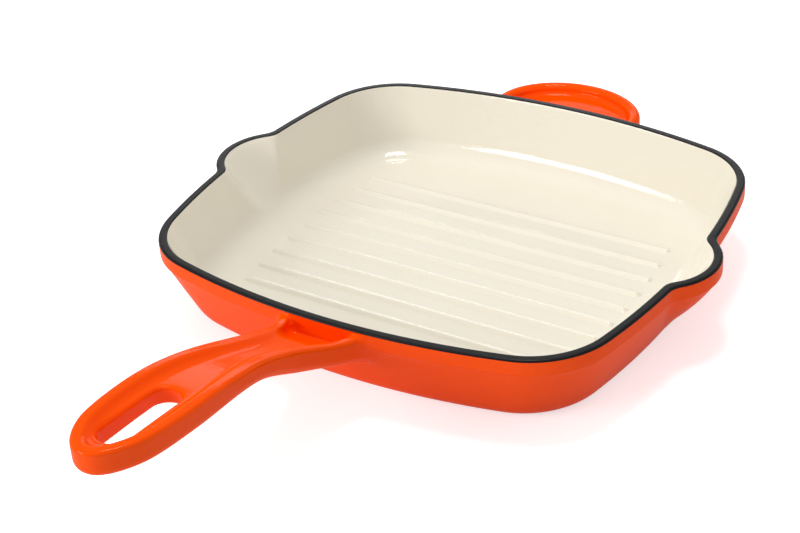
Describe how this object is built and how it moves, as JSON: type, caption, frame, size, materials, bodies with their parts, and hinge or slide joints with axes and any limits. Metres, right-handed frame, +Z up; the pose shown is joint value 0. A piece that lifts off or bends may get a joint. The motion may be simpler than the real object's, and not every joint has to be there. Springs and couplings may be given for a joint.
{
  "type": "grill pan",
  "caption": "Square enamelled cast-iron grill pan with a ribbed cooking floor, pouring spouts at both sides, a long handle with a hanging slot and a short helper handle.",
  "frame": {"origin": "centre of the pan's underside, on the plane it rests on", "axes": "+Z up, the long handle points along -Y, the helper handle along +Y, the spouts along -X and +X"},
  "size_m": [0.288, 0.4425, 0.0784],
  "materials": {
    "iron": "rough cast, hidden under the enamel",
    "orange_enamel": "gloss vitreous enamel, orange",
    "cream_enamel": "gloss vitreous enamel, cream",
    "black_enamel": "satin vitreous enamel, black",
    "ground_coat": "satin vitreous enamel, orange"
  },
  "bodies": {
    "root": {"pan_body": "iron", "long_handle": "iron", "helper_handle": "iron", "outer_enamel": "orange_enamel", "inner_enamel": "cream_enamel", "rim_enamel": "black_enamel", "base_enamel": "ground_coat"}
  },
  "joints": []
}
